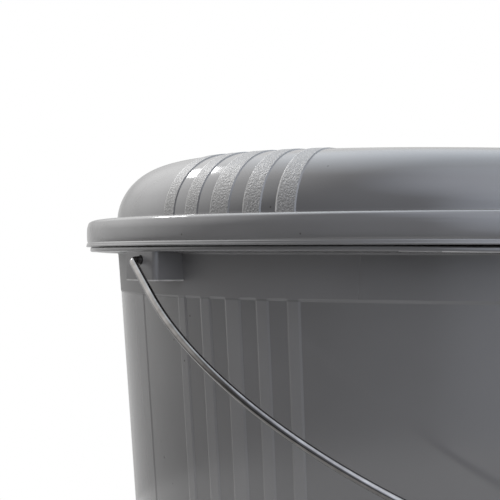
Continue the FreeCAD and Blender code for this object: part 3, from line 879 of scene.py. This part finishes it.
def grip_outline():
    """Half section of the grip from bore to bore, as (radius, place along it)."""
    groove = GRIP_RADIUS - RIB_RISE
    half = [(GRIP_BORE, GRIP_HALF - 1.2), (GRIP_BORE + 0.5, GRIP_HALF - 0.6), (3.4, GRIP_HALF - 0.6)]
    half += [(3.6, GRIP_HALF - 2.5), (7.6, GRIP_HALF - 2.5), (7.8, GRIP_HALF - 0.4)]
    half += arc((COLLAR_RADIUS - COLLAR_ROUND, GRIP_HALF - COLLAR_ROUND), COLLAR_ROUND, 90, 0, 5)
    back = GRIP_HALF - COLLAR_WIDTH + 1
    half += arc((COLLAR_RADIUS - COLLAR_FILLET, back), COLLAR_FILLET, 0, -80, 4)
    half += [(groove + 0.05, GRIP_HALF - COLLAR_WIDTH)]
    half += [(groove, GRIP_HALF - inward) for inward in (5.6, 6.4, 7.4)]
    half += [(groove, 25), (groove, 10)]
    return half + [(radius, -along) for radius, along in reversed(half)]


def make_grip(material, depth):
    """Tube with collars and lengthwise ribs, laid on the wire's straight middle."""
    grip = start_outline("bail_grip_ribbed", grip_outline())
    spacing = 360 / GRIP_RIBS
    spin_about_axis([(spacing / 6, 1)] * GRIP_RIBS * 6)

    def on_rib(place, normal):
        turn = math.degrees(math.atan2(place.y, place.x)) % spacing
        crest = turn < RIB_HALF_ANGLE or turn > spacing - RIB_HALF_ANGLE
        outside = GRIP_RADIUS - RIB_RISE - 0.05 < reach(place) < GRIP_RADIUS
        return crest and outside and abs(place.z / MM) < GRIP_HALF - 6.6

    pick(grip, on_rib)
    share = GRIP_RADIUS / (GRIP_RADIUS - RIB_RISE)
    bpy.ops.transform.resize(value=(share, share, 1), center_override=(0, 0, 0))
    close_bore()
    bpy.ops.object.mode_set(mode="OBJECT")
    lay = Matrix.Translation(bail_place(0, depth)) @ Matrix.Rotation(math.pi / 2, 4, "Y")
    grip.data.transform(lay)
    add_materials(grip, material)
    finish_piece(grip, 50, "grip", "bail_grip")


def close_bore():
    """Joins the two open ends of a mesh in edit mode with the bore's wall."""
    bpy.ops.mesh.select_mode(type="EDGE")
    bpy.ops.mesh.select_all(action="DESELECT")
    bpy.ops.mesh.select_non_manifold()
    bpy.ops.mesh.bridge_edge_loops()
    bpy.ops.mesh.select_all(action="SELECT")
    bpy.ops.mesh.normals_make_consistent(inside=False)


# Studio


def make_floor():
    """Pale floor that takes the object's shadow and fades to white away from it."""
    deselect()
    bpy.ops.mesh.primitive_circle_add(vertices=96, radius=FLOOR_REACH * MM, fill_type="NGON")
    floor = bpy.context.object
    floor.name = "studio_floor"
    material, tree = new_material("pale_studio_floor")
    place = add(tree, "ShaderNodeTexCoord").outputs["Object"]
    far = add(tree, "ShaderNodeVectorMath", {0: place}, operation="LENGTH").outputs["Value"]
    fade = add(
        tree,
        "ShaderNodeMapRange",
        {"Value": far, "From Min": FADE_START * MM, "From Max": FADE_END * MM},
    )
    rays, mirrored = ray_kinds(tree)
    seen = add(tree, "ShaderNodeMath", {0: rays["Is Camera Ray"], 1: mirrored}, operation="MAXIMUM")
    share = add(tree, "ShaderNodeMath", {0: seen, 1: fade}, operation="MULTIPLY")
    matt = add(tree, "ShaderNodeBsdfDiffuse", {"Color": linear("E0E0E0")})
    white = add(tree, "ShaderNodeEmission", {"Color": (1, 1, 1, 1), "Strength": 1.0})
    mixed = add(tree, "ShaderNodeMixShader", {0: share, 1: matt, 2: white})
    add(tree, "ShaderNodeOutputMaterial", {"Surface": mixed})
    add_materials(floor, material)


def ray_kinds(tree):
    """What Light Path tells of a ray, and a node that is 1 for glossy and transmission rays."""
    rays = add(tree, "ShaderNodeLightPath").outputs
    pair = {0: rays["Is Glossy Ray"], 1: rays["Is Transmission Ray"]}
    return rays, add(tree, "ShaderNodeMath", pair, operation="MAXIMUM")


def heading(azimuth, height):
    """A direction by its angle from the camera's side, positive to the picture's right, and by
    its height."""
    turn, lift = math.radians(azimuth - 90 - CAMERA_SIDE), math.radians(height)
    level = math.cos(lift)
    return Vector((math.cos(turn) * level, math.sin(turn) * level, math.sin(lift)))


def gather(tree, toward, lights):
    """Adds up soft lights. Each grows from none at the closeness where it starts to its full
    colour at its middle."""
    total = (0.0, 0.0, 0.0)
    for direction, start, colour in lights:
        aim = heading(*direction)
        near = add(tree, "ShaderNodeVectorMath", {0: toward, 1: aim}, operation="DOT_PRODUCT")
        share = add(
            tree, "ShaderNodeMapRange", {"Value": near.outputs["Value"], "From Min": start}
        )
        light = add(tree, "ShaderNodeVectorMath", {0: colour, "Scale": share}, operation="SCALE")
        total = add(tree, "ShaderNodeVectorMath", {0: total, 1: light}, operation="ADD")
    return total


def make_world():
    """White studio, lit from behind on the left and, cooler, from the front on the right. The
    camera sees white, matt surfaces get soft light from both directions, and mirroring ones see
    stronger soft boxes there and overhead, with dark gaps between them."""
    world = bpy.data.worlds.new("white_studio")
    bpy.context.scene.world = world
    world.use_nodes = True
    tree = world.node_tree
    tree.nodes.clear()
    toward = add(tree, "ShaderNodeTexCoord").outputs["Generated"]
    matt = gather(tree, toward, MATT_LIGHTS)
    mirrors = gather(tree, toward, MIRRORED_BACK + MIRRORED_FRONT)
    rays, mirrored = ray_kinds(tree)
    soft = add(tree, "ShaderNodeBackground", {"Color": matt, "Strength": 1.0})
    sharp = add(tree, "ShaderNodeBackground", {"Color": mirrors, "Strength": 1.0})
    white = add(tree, "ShaderNodeBackground", {"Color": (1, 1, 1, 1), "Strength": 1.0})
    light = add(tree, "ShaderNodeMixShader", {0: mirrored, 1: soft, 2: sharp})
    mixed = add(tree, "ShaderNodeMixShader", {0: rays["Is Camera Ray"], 1: light, 2: white})
    add(tree, "ShaderNodeOutputWorld", {"Surface": mixed})


def make_lamp():
    """Small lamp, high behind on the left, that gives the lid its highlight."""
    data = bpy.data.lights.new("small_lamp", "AREA")
    data.shape = "RECTANGLE"
    data.size, data.size_y = LAMP_SIZE[0] * MM, LAMP_SIZE[1] * MM
    data.energy = LAMP_POWER
    lamp = bpy.data.objects.new("small_lamp", data)
    place = heading(LAMP_SIDE, 0) * LAMP_DISTANCE * MM + Vector((0, 0, LAMP_HEIGHT)) * MM
    target = Vector((0, 0, LAMP_AIM)) * MM
    lamp.location = place
    lamp.rotation_euler = (target - place).to_track_quat("-Z", "Y").to_euler()
    bpy.context.scene.collection.objects.link(lamp)


def make_camera():
    """The photograph's own view, found from the rim, the step and the outline."""
    data = bpy.data.cameras.new("photo_camera")
    data.sensor_width = 36.0
    data.lens = CAMERA_LENS
    data.clip_start = 0.01
    data.clip_end = 40
    camera = bpy.data.objects.new("photo_camera", data)
    bpy.context.scene.collection.objects.link(camera)
    side = math.radians(CAMERA_SIDE)
    away = -CAMERA_DISTANCE * MM
    camera.location = (away * math.sin(side), away * math.cos(side), CAMERA_HEIGHT * MM)
    turn = Matrix.Rotation(math.radians(CAMERA_YAW - CAMERA_SIDE), 4, "Z")
    tilt = Matrix.Rotation(math.radians(90 + CAMERA_PITCH), 4, "X")
    roll = Matrix.Rotation(math.radians(CAMERA_ROLL), 4, "Z")
    camera.rotation_euler = (turn @ tilt @ roll).to_euler()
    bpy.context.scene.camera = camera


def main():
    gloss = glossy_polypropylene("glossy_moulded_polypropylene", "5B5A5A", "5F5E5E")
    # Paler copy of the plastic: a painted sheen for the ribs.
    rib_sheen = glossy_polypropylene("glossy_polypropylene_painted_sheen_on_ribs", "646363", "686767")
    grain = grained_polypropylene()
    # Pale material for the painted edge highlights.
    edge_highlight = painted_edge_highlight_polypropylene()
    make_bucket(gloss, edge_highlight, rib_sheen)
    make_lug("right", gloss, edge_highlight)
    make_lug("left", gloss, edge_highlight)
    make_lid(gloss, grain, edge_highlight)
    depth = make_wire(zinc_plated_wire())
    make_grip(satin_polyethylene(), depth)
    make_floor()
    make_world()
    make_lamp()
    make_camera()
    bpy.context.scene.view_settings.view_transform = "Standard"


main()
